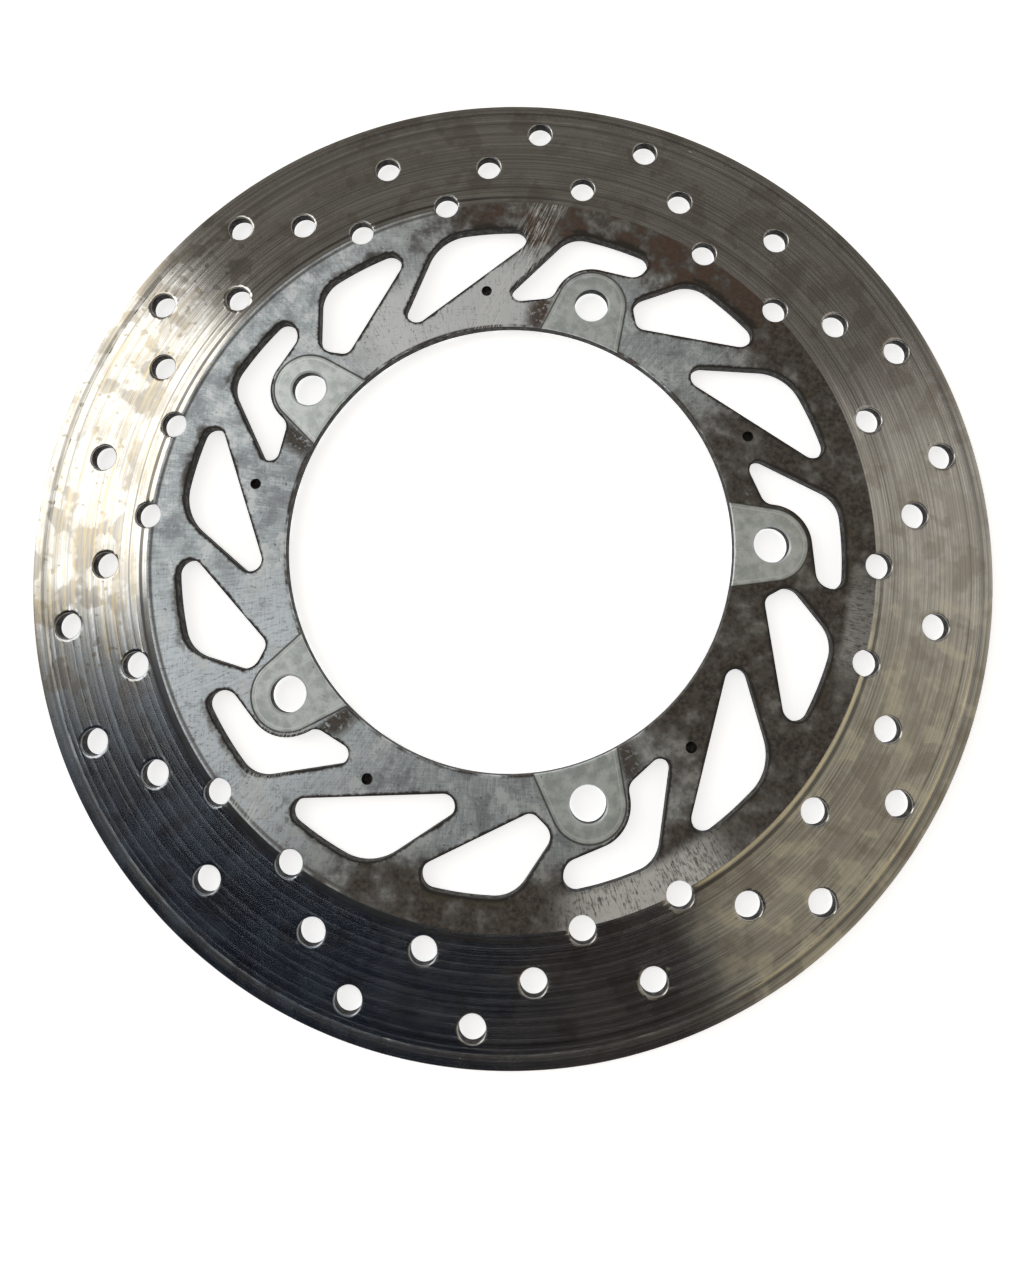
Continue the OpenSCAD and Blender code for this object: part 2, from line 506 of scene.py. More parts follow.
def carrier_solid():
    radii = [STEP_R, STEP_R - STEP_SLOPE_W / 2]
    radii += [BORE_R + d for d in EDGE_STEPS]
    line = (-DIRT_LINE_HALF, -DIRT_LINE_FLOOR, DIRT_LINE_FLOOR, DIRT_LINE_HALF)
    radii += [DIRT_LINE_R + d for d in line]
    radii += [LAND_INNER_R - d for d in (0.0, LAND_SLOPE_W)]
    loops = [circle(r, RING_POINTS) for r in radii]
    loops += [inset_loop(w, -d) for w in WINDOWS for d in EDGE_STEPS]
    loops += [inset_loop(lug, -d) for lug in LUGS for d in SEAM_STEPS]
    for centre in DIMPLES:
        for share in (1.0, DIMPLE_FLOOR):
            loops.append(circle(DIMPLE_R * share, DIMPLE_POINTS, centre))
    for centre in BAND_HOLES:
        if math.hypot(*centre) < STEP_R + BAND_HOLE_R:
            loops += [circle(BAND_HOLE_R + d, BAND_HOLE_POINTS, centre) for d in EDGE_STEPS]

    def clear(c):
        kept = outside_openings(c, OPENING_GAP) & (to_outlines(c, WINDOWS + LUGS) > OUTLINE_GAP)
        return kept & (to_circles(c, DIMPLES, DIMPLE_R) > DIMPLE_GAP)

    def keep(c):
        return (radius_of(c) < STEP_R) & outside_openings(c, -ON_EDGE)

    loose = grid_points(BORE_R + OPENING_GAP, DIRT_LINE_R - OPENING_GAP, clear)
    return plate(loops, loose, keep, carrier_height, lambda p: -carrier_height(p, False))


def carrier_marks(solid):
    """Per vertex: nearness to a window's edge, to its outer side, and to a lug; and the packed
    dirt beside each lug, which the wheel hub's boss has left."""
    p = solid[:, :2]
    r = radius_of(p)
    near_window = 1 - to_outlines(p, WINDOWS, GRIME_REACH) / GRIME_REACH
    above = slope(r, *OUTER_SIDE_R)
    packed = np.zeros(len(p))
    for k in range(BOLT_COUNT):
        local = np.array(turned(p.tolist(), -BOLT_PITCH * k))
        across, down = (np.abs(local - PACKED_DIRT) / PACKED_DIRT_HALF).T
        packed = np.maximum(packed, 1 - slope(np.hypot(across, down), *PACKED_DIRT_FADE))
    return {
        "near_window": near_window,
        "above_window": near_window * above,
        "near_lug": 1 - to_outlines(p, LUGS, SEAM_REACH) / SEAM_REACH,
        "packed_dirt": packed,
    }


def lug_height(p):
    """Height of lug 1's face: the seam round it, the countersink and the worn bore edge."""
    r = radius_of(p)
    z = np.full(len(p), FACE_Z)
    z -= edge_drop(r - BORE_R)
    z -= SEAM_DEPTH * (1 - slope(to_outlines(p, LUGS[:1]), 0, SEAM_W))
    z -= COUNTERSINK_W * (1 - slope(to_circles(p, BOLTS[:1], BOLT_HOLE_R), 0, COUNTERSINK_W))
    return z


def lug_solid():
    lug = LUGS[0]
    loops = [inset_loop(lug, d) for d in LUG_STEPS]
    loops += [circle(BORE_R + d, RING_POINTS) for d in EDGE_STEPS]
    loops += [circle(BOLT_HOLE_R + d, BOLT_HOLE_POINTS, BOLTS[0]) for d in BOLT_STEPS]

    def keep(c):
        in_hole = to_circles(c, BOLTS[:1], BOLT_HOLE_R) < -ON_EDGE
        return within(c, lug) & (radius_of(c) > BORE_R - ON_EDGE) & ~in_hole

    def clear(c):
        off_bolt = to_circles(c, BOLTS[:1], BOLT_HOLE_R) > BOLT_GAP
        return keep(c) & off_bolt & (to_outlines(c, [lug], LUG_GAP) >= LUG_GAP)

    loose = grid_points(BORE_R + OPENING_GAP, BOLT_CIRCLE_R + LUG_R, clear)
    return plate(loops, loose, keep, lug_height, lambda p: -lug_height(p))


def lug_marks(solid):
    """Per vertex: nearness to the seam round the lug, and to the bolt hole."""
    p = solid[:, :2]
    return {
        "near_seam": 1 - to_outlines(p, LUGS[:1], SEAM_REACH) / SEAM_REACH,
        "near_bolt": 1 - slope(to_circles(p, BOLTS[:1], BOLT_HOLE_R), 0.0, BOLT_HIGHLIGHT_REACH),
    }


# ---------------------------------------------------------------- node graphs

# The picture is turned by this much from the disc's frame. Sectors are given as they appear
# in the picture, counter-clockwise from its right.
PICTURE_TURN = 19.1


class Graph:
    """Short calls for the nodes of one tree. coordinates is the kind of texture coordinates to
    use, and unit is the direction round the disc's axis."""

    def __init__(self, tree, coordinates):
        self.tree = tree
        x, y, self.z = self.split(self.output("ShaderNodeTexCoord", coordinates))
        self.unit = self.vector("NORMALIZE", self.combine(x, y, 0.0))

    def node(self, kind, **settings):
        made = self.tree.nodes.new(kind)
        for key, value in settings.items():
            setattr(made, key, value)
        return made

    def output(self, kind, name):
        return self.node(kind).outputs[name]

    def feed(self, socket, value):
        """Links the socket to value if that is another socket, or sets it to value."""
        if isinstance(value, bpy.types.NodeSocket):
            self.tree.links.new(value, socket)
        elif isinstance(value, tuple) and socket.type == "RGBA":
            socket.default_value = (*value, 1.0)
        else:
            socket.default_value = value

    def split(self, vector):
        made = self.node("ShaderNodeSeparateXYZ")
        self.feed(made.inputs[0], vector)
        return made.outputs

    def combine(self, x, y, z):
        made = self.node("ShaderNodeCombineXYZ")
        for socket, value in zip(made.inputs, (x, y, z)):
            self.feed(socket, value)
        return made.outputs[0]

    def vector(self, operation, a, b=None, scale=None):
        made = self.node("ShaderNodeVectorMath", operation=operation)
        self.feed(made.inputs[0], a)
        if b is not None:
            self.feed(made.inputs[1], b)
        if scale is not None:
            self.feed(made.inputs["Scale"], scale)
        return made.outputs["Value" if operation in ("LENGTH", "DOT_PRODUCT") else "Vector"]

    def math(self, operation, *values):
        made = self.node("ShaderNodeMath", operation=operation)
        for socket, value in zip(made.inputs, values):
            self.feed(socket, value)
        return made.outputs[0]

    def add(self, *values):
        total = values[0]
        for value in values[1:]:
            total = self.math("ADD", total, value)
        return total

    def times(self, *values):
        total = values[0]
        for value in values[1:]:
            total = self.math("MULTIPLY", total, value)
        return total

    def blend(self, *parts):
        """The sum of (value, weight) pairs."""
        return self.add(*(self.times(value, weight) for value, weight in parts))

    def most(self, *values):
        """The greatest of the values."""
        top = values[0]
        for value in values[1:]:
            top = self.math("MAXIMUM", top, value)
        return top

    def without(self, value):
        """What a share leaves of 1."""
        return self.math("SUBTRACT", 1.0, value)

    def gap(self, a, b):
        """How far apart two values are."""
        return self.math("ABSOLUTE", self.math("SUBTRACT", a, b))

    def fit(self, value, low, high, to_low=0.0, to_high=1.0):
        """value, eased from to_low at low to to_high at high."""
        made = self.node("ShaderNodeMapRange", interpolation_type="SMOOTHSTEP")
        ends = (low, high, to_low, to_high)
        for name, end in zip(("From Min", "From Max", "To Min", "To Max"), ends):
            made.inputs[name].default_value = end
        self.feed(made.inputs["Value"], value)
        return made.outputs["Result"]

    def sector(self, middle, half, soft):
        """1 round the picture's direction middle, down to 0 over soft degrees, which lie about
        half degrees from it."""
        a = math.radians(middle + PICTURE_TURN)
        dot = self.vector("DOT_PRODUCT", self.unit, (math.cos(a), math.sin(a), 0.0))
        outer = math.cos(math.radians(min(180, half + soft / 2)))
        inner = math.cos(math.radians(max(0, half - soft / 2)))
        return self.fit(dot, outer, inner)

    def mix(self, factor, a, b):
        """The colours a and b, mixed by factor."""
        made = self.node("ShaderNodeMix", data_type="RGBA")
        colours = [socket for socket in made.inputs if socket.type == "RGBA"]
        self.feed(made.inputs[0], factor)
        self.feed(colours[0], a)
        self.feed(colours[1], b)
        return next(socket for socket in made.outputs if socket.type == "RGBA")

    def over(self, under, colour, *shares):
        """The colour laid over another one, by the product of the shares."""
        return self.mix(self.times(*shares), under, colour)


class Surface(Graph):
    """A material of one Principled shader. at is the place in mm, r the distance from the axis."""

    def __init__(self, name):
        self.material = bpy.data.materials.new(name)
        self.material.use_nodes = True
        self.material.node_tree.nodes.clear()
        super().__init__(self.material.node_tree, "Object")
        self.shader = self.node("ShaderNodeBsdfPrincipled")
        output = self.node("ShaderNodeOutputMaterial")
        self.feed(output.inputs["Surface"], self.shader.outputs["BSDF"])
        place = self.output("ShaderNodeTexCoord", "Object")
        self.at = self.vector("SCALE", place, scale=1 / MM)
        self.x, self.y, self.z = self.split(self.at)
        self.r = self.vector("LENGTH", self.combine(self.x, self.y, 0.0))

    def set(self, name, value):
        self.feed(self.shader.inputs[name], value)

    def mark(self, name):
        """One of the values that make_piece has put at the vertices."""
        made = self.node("ShaderNodeAttribute", attribute_name=name)
        return made.outputs["Fac"]

    def noise(self, vector, scale=1.0, detail=3.0, roughness=0.55):
        made = self.node("ShaderNodeTexNoise")
        self.feed(made.inputs["Vector"], vector)
        made.inputs["Scale"].default_value = scale
        made.inputs["Detail"].default_value = detail
        made.inputs["Roughness"].default_value = roughness
        return made.outputs["Fac"]

    def strokes(self, angle, along, across, offset):
        """Coordinates for scratches in direction angle: cells per mm along and across them."""
        c, s = math.cos(math.radians(angle)), math.sin(math.radians(angle))
        u = self.vector("DOT_PRODUCT", self.at, (c * along, s * along, 0.0))
        v = self.vector("DOT_PRODUCT", self.at, (-s * across, c * across, 0.0))
        return self.combine(u, v, offset)

    def stripe(self, angle, middle, half, soft):
        """1 within half mm of a straight line in direction angle, middle mm left of the axis."""
        a = math.radians(angle + 90)
        side = self.vector("DOT_PRODUCT", self.at, (math.cos(a), math.sin(a), 0.0))
        return self.fit(self.gap(side, middle), half, half + soft, 1.0, 0.0)

    def rings(self, around, across, offset=0.0):
        """Coordinates for streaks round the axis: cells per radian, and per mm across them."""
        x, y, _ = self.split(self.vector("SCALE", self.unit, scale=around))
        return self.combine(x, y, self.add(self.times(self.r, across), offset))

    def ring(self, middle, half, soft):
        """1 within half mm of the radius middle, fading to 0 over soft mm."""
        return self.fit(self.gap(self.r, middle), half, half + soft, 1.0, 0.0)

    def bump(self, height, depth):
        """A normal for height from 0 to 1, which stands depth mm high."""
        made = self.node("ShaderNodeBump")
        made.inputs["Strength"].default_value = 1.0
        made.inputs["Distance"].default_value = depth * MM
        self.feed(made.inputs["Height"], height)
        self.set("Normal", made.outputs["Normal"])


# ---------------------------------------------------------------- swept band

# In all the materials, colours are linear RGB, and a sector is its middle direction, half its
# width and its soft edge, in degrees of the picture. Noise mostly lies between 0.3 and 0.7, so
# the two ends of a g.fit of noise say how much of the steel a mark covers.

RING_HOLLOWS = (0.36, 0.348, 0.33)
RING_CRESTS = (0.72, 0.705, 0.68)
DARK_RING = (0.16, 0.15, 0.14)
PALE_RING = (0.88, 0.87, 0.84)
DARK_STREAK = (0.34, 0.32, 0.28)
PAD_FILM = (0.33, 0.305, 0.27)
# A painted bluish reflection tint.
BLUISH_REFLECTION = (0.33, 0.39, 0.47)
BROWN_PATCH = (0.23, 0.18, 0.145)
FADED_STEEL = (0.90, 0.85, 0.72)
GREY_STAIN = (0.235, 0.22, 0.20)
TAN_STAIN = (0.31, 0.265, 0.20)
GOLDEN_STREAK = (0.50, 0.42, 0.27)
# A painted golden highlight.
GOLD_HIGHLIGHT = (1.0, 0.90, 0.66)
# Brake dirt, also used as painted shade at the step and land.
BRAKE_DIRT_AND_SHADE = (0.05, 0.045, 0.04)

# The bluish sector is a painted reflection tint.
BLUISH_REFLECTION_SECTOR = (226, 30, 30)
HEATED_SECTOR = (165, 34, 16)
FADED_SECTOR = (320, 32, 20)
GOLDEN_SECTOR = (172, 26, 16)
# The sector of the painted golden highlight.
GOLD_HIGHLIGHT_SECTOR = (321, 23, 12)
# The step and land sectors hold painted shade.
SHADED_STEP_SECTOR = (220, 140, 40)
SHADED_LAND_SECTOR = (226, 36, 20)

# Rings that stand out: middle radius, half width and soft edge, in mm.
OUTER_DARK_RING = (117.1, 0.08, 0.18)
INNER_DARK_RING = (97.9, 0.1, 0.2)
THIN_PALE_RING = (118.1, 0.1, 0.15)
# The next two rings are painted golden highlights.
INNER_HIGHLIGHT_RING = (93.8, 0.15, 0.3)
OUTER_HIGHLIGHT_RING = (119.2, 0.1, 0.3)
# The step and land rings hold painted shade.
STEP_SHADE_RING = (STEP_R + 0.05, 0.3, 0.3)
LAND_SHADE_RING = (94.0, 0.7, 0.3)
LIP_DIRT_RING = (DISC_R - LIP_W - 0.5, 0.25, 0.3)

# The heat stains start between these radii.
HEATED_FROM_R = (97.0, 103.0)


def swept_steel():
    """Steel that the pads have ground round the axis, with fine rings, stains and films, a painted
    bluish reflection, painted golden highlights and painted shade at the step.
    """
    g = Surface("SweptSteel")
    broad_rings = g.noise(g.rings(0.0, 0.55, 3.0), detail=4, roughness=0.7)
    fine_rings = g.noise(g.rings(0.6, 2.6), detail=5, roughness=0.75)
    thin_rings = g.noise(g.rings(0.25, 5.5, 130.0), detail=3, roughness=0.7)
    streaks = g.noise(g.rings(5.0, 1.3, 20.0), detail=5, roughness=0.65)
    blotches = g.noise(g.rings(9.0, 0.13, 70.0), detail=5, roughness=0.6)
    spots = g.noise(g.at, scale=0.14, detail=2, roughness=0.5)
    drops = g.noise(g.at, scale=0.45, detail=1, roughness=0.4)

    rings = g.blend((broad_rings, 0.25), (fine_rings, 0.45), (thin_rings, 0.3))
    steel = g.mix(g.fit(rings, 0.38, 0.6), RING_HOLLOWS, RING_CRESTS)
    dark_rings = g.most(g.ring(*OUTER_DARK_RING), g.ring(*INNER_DARK_RING))
    steel = g.over(steel, DARK_RING, dark_rings, 0.6)
    steel = g.over(steel, PALE_RING, g.ring(*THIN_PALE_RING), 0.6)
    steel = g.over(steel, DARK_STREAK, g.fit(streaks, 0.5, 0.66), 0.3)
    film = g.times(g.fit(blotches, 0.45, 0.58), 0.35)
    steel = g.over(steel, PAD_FILM, film)
    # Painted reflection: a darker bluish tint over the band at the lower left.
    bluish_share = g.fit(blotches, 0.35, 0.6, 0.5, 0.9)
    steel = g.over(steel, BLUISH_REFLECTION, g.sector(*BLUISH_REFLECTION_SECTOR), bluish_share)

    worn = g.blend((spots, 0.75), (blotches, 0.25))
    unheated = g.without(g.sector(*HEATED_SECTOR))
    steel = g.over(steel, BROWN_PATCH, g.fit(worn, 0.53, 0.60), unheated, 0.3)
    steel = g.over(steel, FADED_STEEL, g.fit(worn, 0.47, 0.38), g.sector(*FADED_SECTOR), 0.4)
    heated = g.times(g.sector(*HEATED_SECTOR), g.fit(g.r, *HEATED_FROM_R))
    wet = g.most(g.fit(worn, 0.51, 0.57), g.fit(drops, 0.64, 0.70))
    stain = g.mix(g.fit(streaks, 0.4, 0.6), GREY_STAIN, TAN_STAIN)
    steel = g.over(steel, stain, wet, heated, 0.7)
    golden = g.fit(streaks, 0.48, 0.6)
    steel = g.over(steel, GOLDEN_STREAK, golden, g.sector(*GOLDEN_SECTOR), 0.5)
    # Painted highlight: two thin golden rings on the lower right.
    highlight_rings = g.most(g.ring(*INNER_HIGHLIGHT_RING), g.ring(*OUTER_HIGHLIGHT_RING))
    gold_highlight = g.times(highlight_rings, g.sector(*GOLD_HIGHLIGHT_SECTOR), g.fit(streaks, 0.3, 0.5))
    steel = g.over(steel, GOLD_HIGHLIGHT, gold_highlight)

    # Painted shade: a dark line at the step, all round except on the right, and one on the land at
    # the lower left.
    step_shade = g.times(g.ring(*STEP_SHADE_RING), g.sector(*SHADED_STEP_SECTOR), 0.72)
    land_shade = g.times(g.ring(*LAND_SHADE_RING), g.sector(*SHADED_LAND_SECTOR), 0.65)
    lip_dirt = g.times(g.ring(*LIP_DIRT_RING), 0.4)
    dark_marks = g.most(step_shade, land_shade, lip_dirt)
    g.set("Base Color", g.over(steel, BRAKE_DIRT_AND_SHADE, dark_marks))
    g.set("Metallic", 1.0)
    g.set("Roughness", g.add(0.11, g.blend((fine_rings, 0.10), (film, 0.12), (dark_marks, 0.2))))
    tangent = g.node("ShaderNodeTangent", direction_type="RADIAL", axis="Z")
    g.set("Tangent", tangent.outputs["Tangent"])
    g.set("Anisotropic", 0.95)
    g.set("Anisotropic Rotation", 0.25)
    g.bump(g.blend((fine_rings, 0.7), (streaks, 0.3)), depth=0.012)
    return g.material


# ---------------------------------------------------------------- carrier

SCRATCH_HOLLOWS = (0.40, 0.44, 0.475)
SCRATCH_CRESTS = (0.68, 0.73, 0.76)
DARK_MOTTLE = (0.27, 0.28, 0.31)
PALE_MOTTLE = (0.86, 0.89, 0.90)
WARM_FILM = (0.30, 0.28, 0.255)
RUBBED_STEEL = (0.80, 0.82, 0.84)
BLEACHED_STEEL = (0.78, 0.84, 0.90)
SCUFFED_STEEL = (0.90, 0.90, 0.88)
DARK_GRIME = (0.035, 0.027, 0.022)
PALE_GRIME = (0.12, 0.10, 0.085)
RUSTY_GRIME = (0.11, 0.062, 0.04)
OLIVE_SOOT = (0.085, 0.070, 0.040)
BLACK_SOOT = (0.014, 0.012, 0.010)

# The dirty side reaches further round the carrier near the windows' outer ends than near the
# bore. One becomes the other between these radii.
DIRTY_OUTER_SECTOR = (-8, 114, 40)
DIRTY_INNER_SECTOR = (-12, 44, 26)
DIRTY_OUTER_R = (72.0, 86.0)

SOOTY_SECTOR = (66, 30, 18)
RUBBED_SECTOR = (104, 24, 20)
RUBBED_INSIDE_R = (80.0, 72.0)
BLEACHED_SECTOR = (212, 20, 22)
RUSTY_SECTOR = (68, 26, 16)

# Bright scuffs: two places beyond the windows, and one slanted stripe, given by its distance
# left of the axis, half its width and its soft edge.
LOWER_SCUFF_SECTOR = (292, 12, 12)
LOWER_SCUFF_FROM_R = (83.0, 87.0)
RIGHT_SCUFF_SECTOR = (346, 6, 10)
RIGHT_SCUFF_FROM_R = (86.0, 88.0)
SCUFF_ANGLE = 83.9
SCUFF_STRIPE = (29.8, 2.5, 4.5)

# The scratches cross each other at right angles, in these directions.
SCRATCH_ANGLES = (19, 109)

BORE_DIRT_RING = (BORE_R, 0.3, 0.5)
DIRT_LINE_RING = (DIRT_LINE_R, 0.15, 0.5)


def carrier_steel():
    """Rolled steel that nothing wears: crossed scratches, pits, brake dust and road grime."""
    g = Surface("CarrierSteel")
    one_way, other_way = SCRATCH_ANGLES
    weave = g.add(
        g.noise(g.strokes(one_way, 0.22, 2.4, 0.0), detail=4, roughness=0.7),
        g.noise(g.strokes(other_way, 0.22, 2.4, 9.0), detail=4, roughness=0.7),
        g.noise(g.rings(150.0, 0.18, 30.0), detail=3, roughness=0.6),
    )
    weave = g.times(weave, 1 / 3)
    mottle = g.noise(g.at, scale=0.16, detail=7, roughness=0.66)
    crumbs = g.noise(g.at, scale=0.9, detail=5, roughness=0.7)

    outer_part = g.fit(g.r, *DIRTY_OUTER_R)
    dirty_side = g.add(
        g.times(g.sector(*DIRTY_OUTER_SECTOR), outer_part),
        g.times(g.sector(*DIRTY_INNER_SECTOR), g.without(outer_part)),
    )
    grime = g.fit(g.add(mottle, g.blend((crumbs, 0.25), (dirty_side, 0.39))), 0.74, 1.04)
    pits = g.fit(g.noise(g.at, scale=1.3, detail=2, roughness=0.5), 0.66, 0.72, 0.0, 0.6)
    ragged = g.add(g.mark("near_window"), g.blend((crumbs, 0.25), (mottle, 0.2)))
    edge_line = g.fit(ragged, 1.06, 1.16)
    above_window = g.mark("above_window")
    beyond = g.fit(above_window, 0.0, 0.4)
    sooty = g.blend((mottle, 0.5), (g.sector(*SOOTY_SECTOR), 0.22))
    smudge = g.times(g.fit(g.add(above_window, sooty), 1.08, 1.3), beyond)
    spread = g.add(above_window, g.times(mottle, 1.1))
    halo = g.times(g.fit(spread, 1.18, 1.5), beyond, 0.85)
    packed = g.times(g.mark("packed_dirt"), g.fit(crumbs, 0.3, 0.5))
    seam = g.fit(g.mark("near_lug"), 0.75, 0.98)
    bore_line = g.times(g.ring(*BORE_DIRT_RING), g.fit(mottle, 0.4, 0.55))
    dirt_line = g.times(g.ring(*DIRT_LINE_RING), 0.7)
    dark_marks = g.most(grime, edge_line, smudge, packed, seam, bore_line, dirt_line, halo, pits)

    lower = g.times(g.sector(*LOWER_SCUFF_SECTOR), g.fit(g.r, *LOWER_SCUFF_FROM_R))
    right = g.times(g.sector(*RIGHT_SCUFF_SECTOR), g.fit(g.r, *RIGHT_SCUFF_FROM_R), 0.55)
    radial = g.noise(g.rings(230.0, 0.4, 80.0), detail=5, roughness=0.75)
    radial = g.blend((radial, 0.5), (crumbs, 0.25), (mottle, 0.25))
    slanted = g.noise(g.strokes(SCUFF_ANGLE, 0.12, 2.4, 5.0), detail=5, roughness=0.72)
    stripe = g.times(g.stripe(SCUFF_ANGLE, *SCUFF_STRIPE), g.fit(slanted, 0.47, 0.60))
    scuffs = g.add(
        g.times(g.add(lower, right), g.fit(radial, 0.40, 0.52)),
        g.times(stripe, g.fit(crumbs, 0.3, 0.5)),
    )
    dark_marks = g.times(dark_marks, g.without(g.times(scuffs, 0.85)))

    steel = g.mix(g.fit(weave, 0.38, 0.62), SCRATCH_HOLLOWS, SCRATCH_CRESTS)
    steel = g.over(steel, DARK_MOTTLE, g.fit(mottle, 0.5, 0.6), 0.6)
    steel = g.over(steel, PALE_MOTTLE, g.fit(mottle, 0.46, 0.38), 0.6)
    steel = g.over(steel, WARM_FILM, dirty_side, 0.75)
    rubbed = g.times(g.sector(*RUBBED_SECTOR), g.fit(g.r, *RUBBED_INSIDE_R))
    steel = g.over(steel, RUBBED_STEEL, rubbed, g.fit(weave, 0.35, 0.5))
    bleached = g.times(g.sector(*BLEACHED_SECTOR), g.fit(mottle, 0.35, 0.5))
    steel = g.over(steel, BLEACHED_STEEL, bleached, g.fit(weave, 0.36, 0.54))
    steel = g.over(steel, SCUFFED_STEEL, scuffs, 0.85)

    brown = g.mix(g.fit(crumbs, 0.35, 0.65), DARK_GRIME, PALE_GRIME)
    rusty = g.times(g.sector(*RUSTY_SECTOR), g.fit(mottle, 0.42, 0.55))
    brown = g.over(brown, RUSTY_GRIME, rusty, 0.7)
    brown = g.over(brown, OLIVE_SOOT, halo, 0.7)
    brown = g.over(brown, BLACK_SOOT, g.most(edge_line, smudge), 0.8)
    g.set("Base Color", g.mix(dark_marks, steel, brown))
    g.set("Metallic", g.fit(g.add(dark_marks, g.times(scuffs, 0.95)), 0.3, 1.0, 1.0, 0.1))
    g.set("Roughness", g.add(0.44, g.blend((weave, 0.16), (dark_marks, 0.12), (scuffs, 0.15))))
    g.bump(g.blend((weave, 0.35), (crumbs, 0.35), (dark_marks, 0.4)), depth=0.045)
    return g.material


# ---------------------------------------------------------------- lugs, walls and floor

LUG_HOLLOWS = (0.56, 0.61, 0.61)
LUG_CRESTS = (0.78, 0.82, 0.82)
# A painted highlight round the bolt hole.
LUG_BOLT_HIGHLIGHT = (0.86, 0.90, 0.90)
LUG_OUTLINE = (0.90, 0.93, 0.93)

# Dirt specks lie on the part of a lug's face inside these radii.
SPECKS_INSIDE_R = (64.0, 60.0)

# Walls beyond these radii are the disc's rim.
RIM_WALL_R = (DISC_R - 0.9, DISC_R - 0.5)

# Near-black brake dust with painted shade, for the hole and window walls.
DARK_DUST_AND_SHADE = (0.010, 0.009, 0.008)
PALE_DUST_AND_SHADE = (0.07, 0.062, 0.054)
DARK_RIM = (0.21, 0.175, 0.15)
PALE_RIM = (0.40, 0.37, 0.34)
RIM_RUST = (0.13, 0.085, 0.06)

FLOOR_PAINT = (0.87, 0.87, 0.87)
FLOOR_GLOW = (1.0, 1.0, 1.0)


def lug_steel():
    """The clean faces that the wheel hub's bosses have covered, with a painted highlight round the
    bolt hole.
    """
    g = Surface("LugSteel")
    mottle = g.noise(g.at, scale=0.35, detail=6, roughness=0.62)
    crumbs = g.noise(g.at, scale=1.6, detail=4, roughness=0.6)
    steel = g.mix(g.fit(mottle, 0.38, 0.62), LUG_HOLLOWS, LUG_CRESTS)
    # Painted highlight: a pale ring round the bolt hole.
    steel = g.over(steel, LUG_BOLT_HIGHLIGHT, g.mark("near_bolt"), 0.5)
    from_line = g.gap(g.mark("near_seam"), 0.5)
    steel = g.over(steel, LUG_OUTLINE, g.fit(from_line, 0.04, 0.12, 0.6, 0.0))
    specks = g.times(g.fit(crumbs, 0.62, 0.7), g.fit(g.r, *SPECKS_INSIDE_R), 0.6)
    seam = g.times(g.fit(g.mark("near_seam"), 0.8, 1.0), 0.8)
    dark_marks = g.most(specks, seam)
    g.set("Base Color", g.over(steel, BRAKE_DIRT_AND_SHADE, dark_marks))
    g.set("Metallic", 0.9)
    g.set("Roughness", g.add(0.38, g.blend((mottle, 0.16), (dark_marks, 0.15))))
    g.bump(g.blend((mottle, 0.6), (crumbs, 0.4)), depth=0.03)
    return g.material


def dust_and_shade_walls():
    """The cut walls: holes and windows near black with brake dust and painted shade, the outer rim
    dull and rusty.
    """
    g = Surface("DustAndShadeWalls")
    mottle = g.noise(g.at, scale=0.7, detail=6, roughness=0.65)
    lines = g.noise(g.combine(g.times(g.x, 0.05), g.times(g.y, 0.05), g.times(g.z, 4.0)))
    # Near-black brake dust with painted shade on the hole, window and dimple walls.
    dust_and_shade = g.mix(g.fit(mottle, 0.45, 0.7), DARK_DUST_AND_SHADE, PALE_DUST_AND_SHADE)
    rusty = g.mix(g.fit(lines, 0.4, 0.6), DARK_RIM, PALE_RIM)
    rusty = g.over(rusty, RIM_RUST, g.fit(mottle, 0.5, 0.65))
    rim = g.fit(g.r, *RIM_WALL_R)
    g.set("Base Color", g.mix(rim, dust_and_shade, rusty))
    g.set("Metallic", g.times(rim, 0.8))
    g.set("Specular IOR Level", 0.2)
    g.set("Roughness", g.fit(mottle, 0.3, 0.7, 0.75, 0.5))
    g.bump(mottle, depth=0.08)
    return g.material


def pale_floor():
    """A matt floor that glows a little, so that it stays plain."""
    g = Surface("PaleFloor")
    g.set("Base Color", FLOOR_PAINT)
    g.set("Roughness", 0.9)
    g.set("Emission Color", FLOOR_GLOW)
    g.set("Emission Strength", 0.72)
    return g.material


# ---------------------------------------------------------------- pieces

WALLS, SWEPT, CARRIER, LUG = dust_and_shade_walls(), swept_steel(), carrier_steel(), lug_steel()


def carrier_zone(middles):
    """The land beside the band is as bright as the band, and the dimples take the walls'
    near-black dust and painted shade.
    """
    zone = np.where(radius_of(middles) > LAND_INNER_R, 2, 1)
    in_dimple = (to_circles(middles, DIMPLES, DIMPLE_R) < 0) & (middles[:, 2] > 0)
    return np.where(in_dimple, 0, zone)


make_piece("swept_band", "friction_band", band_solid(), (WALLS, SWEPT))
carrier_points, *carrier_faces = carrier_solid()
make_piece(
    "carrier_plate",
    "carrier",
    (carrier_points, *carrier_faces),
    (WALLS, CARRIER, SWEPT),
    zone=carrier_zone,
    marks=carrier_marks(carrier_points),
)
lug_points, *lug_faces = lug_solid()
for k in range(BOLT_COUNT):
    spun = lug_points.copy()
    spun[:, :2] = turned(lug_points[:, :2].tolist(), BOLT_PITCH * k)
    make_piece(
        f"hub_seat_{k + 1}",
        f"mounting_lug_{k + 1}",
        (spun, *lug_faces),
        (WALLS, LUG),
        marks=lug_marks(lug_points),
    )

# ---------------------------------------------------------------- floor, camera and light

# In metres: half the floor's side, and how far the floor lies under the disc.
FLOOR_HALF = 12.0
FLOOR_GAP = 0.0001

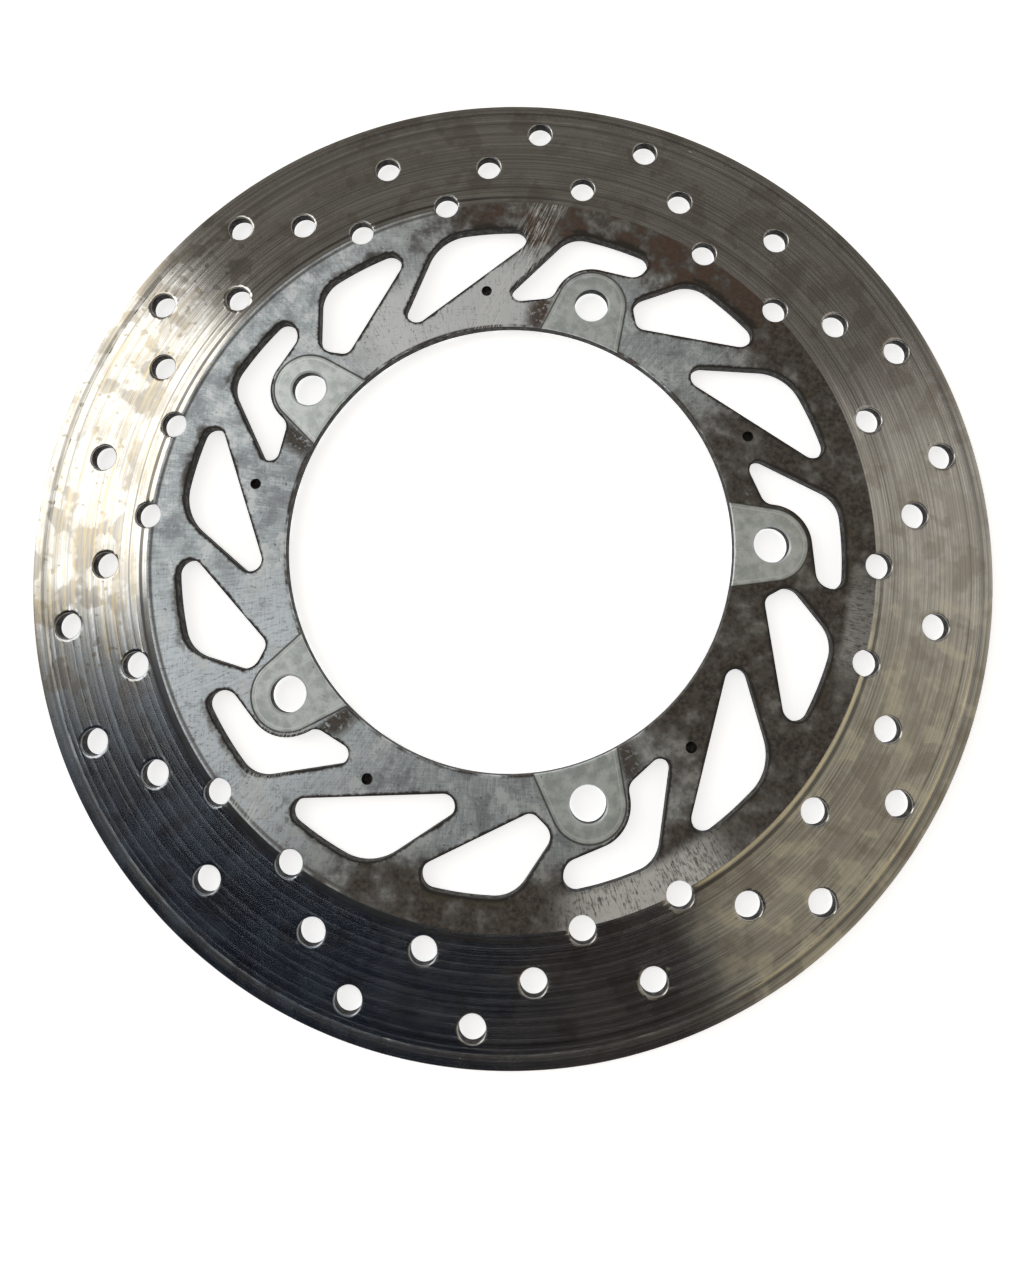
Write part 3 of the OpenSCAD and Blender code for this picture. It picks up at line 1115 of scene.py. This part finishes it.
# The camera's place in mm, in a frame that is tilted and rolled from the disc's by these
# degrees. It looks straight down that frame's Z.
CAMERA_TILT = -12.28
CAMERA_ROLL = -1.03
CAMERA_HEIGHT = 256.3
CAMERA_OFFSET = (5.4, 27.2)
SENSOR_W = 36.0
FOCAL_LENGTH = 28.125
LENS_SHIFT = (-0.0142, -0.161)
CLIP_START = 0.01

# Where the studio's lights are in the picture.
DARK_SECTOR = (244, 53, 8)
GLOW_SECTOR = (280, 10, 14)
RIGHT_SECTOR = (345, 44, 6)
CORNER_SECTOR = (18, 14, 18)
WINDOW_SECTOR = (156, 19.5, 5)

# Between which heights they fade, as the sine of the elevation.
OVERHEAD = (0.92, 0.99)
SHELF = (0.30, 0.42)
WALL_TOP = (0.62, 0.42)
SKIRT_TOP = (0.20, 0.06)

CEILING = (0.165, 0.152, 0.135)
DARK_END = (0.010, 0.014, 0.023)
DARK_GLOW = (0.035, 0.030, 0.028)
GREY_WALLS = (0.36, 0.355, 0.35)
WARM_LAMP = (0.44, 0.405, 0.315)
CORNER_LAMP = (0.58, 0.55, 0.49)
WINDOW_LIGHT = (2.5, 2.48, 2.38)
PALE_SKIRT = (0.90, 0.90, 0.92)


def add_floor():
    z = cad_box[0].z - FLOOR_GAP
    corners = [(-FLOOR_HALF, -FLOOR_HALF), (FLOOR_HALF, -FLOOR_HALF)]
    corners += [(FLOOR_HALF, FLOOR_HALF), (-FLOOR_HALF, FLOOR_HALF)]
    mesh = bpy.data.meshes.new("floor")
    mesh.from_pydata([(x, y, z) for x, y in corners], [], [(0, 1, 2, 3)])
    mesh.materials.append(pale_floor())
    floor = bpy.data.objects.new("floor", mesh)
    bpy.context.scene.collection.objects.link(floor)


def add_camera():
    """The camera at the photograph's angle, as fitted to the disc's rim, bore and bolt holes."""
    tilt = Matrix.Rotation(math.radians(CAMERA_TILT), 4, "X")
    roll = Matrix.Rotation(math.radians(CAMERA_ROLL), 4, "Y")
    axes = (tilt @ roll).transposed()
    place = axes @ Vector((*CAMERA_OFFSET, CAMERA_HEIGHT)) + Vector((0, 0, FACE_Z))
    lens = bpy.data.cameras.new("camera")
    lens.sensor_width = SENSOR_W
    lens.lens = FOCAL_LENGTH
    lens.shift_x, lens.shift_y = LENS_SHIFT
    lens.clip_start = CLIP_START
    camera = bpy.data.objects.new("camera", lens)
    turn = Matrix.Rotation(math.radians(PICTURE_TURN), 4, "Z")
    camera.matrix_world = turn @ Matrix.Translation(place * MM) @ axes
    bpy.context.scene.collection.objects.link(camera)
    bpy.context.scene.camera = camera


def studio_world():
    """A dim studio: a big soft window on the left of the picture, a smaller warm lamp on the
    right, and pale walls low down all round."""
    world = bpy.data.worlds.new("studio")
    world.use_nodes = True
    world.node_tree.nodes.clear()
    g = Graph(world.node_tree, "Generated")
    background = g.node("ShaderNodeBackground")
    output = g.node("ShaderNodeOutputWorld")
    g.feed(output.inputs["Surface"], background.outputs["Background"])
    below_ceiling = g.without(g.times(g.fit(g.z, *OVERHEAD), 0.5))
    shelf = g.times(g.fit(g.z, *SHELF), below_ceiling)
    light = g.mix(g.sector(*DARK_SECTOR), CEILING, DARK_END)
    light = g.over(light, DARK_GLOW, g.sector(*GLOW_SECTOR), shelf)
    light = g.over(light, GREY_WALLS, g.fit(g.z, *WALL_TOP))
    light = g.over(light, WARM_LAMP, g.sector(*RIGHT_SECTOR), shelf)
    light = g.over(light, CORNER_LAMP, g.sector(*CORNER_SECTOR), shelf)
    light = g.over(light, WINDOW_LIGHT, g.sector(*WINDOW_SECTOR), shelf)
    light = g.over(light, PALE_SKIRT, g.fit(g.z, *SKIRT_TOP))
    g.feed(background.inputs["Color"], light)
    bpy.context.scene.world = world


add_floor()
add_camera()
studio_world()
bpy.context.scene.view_settings.view_transform = "Standard"
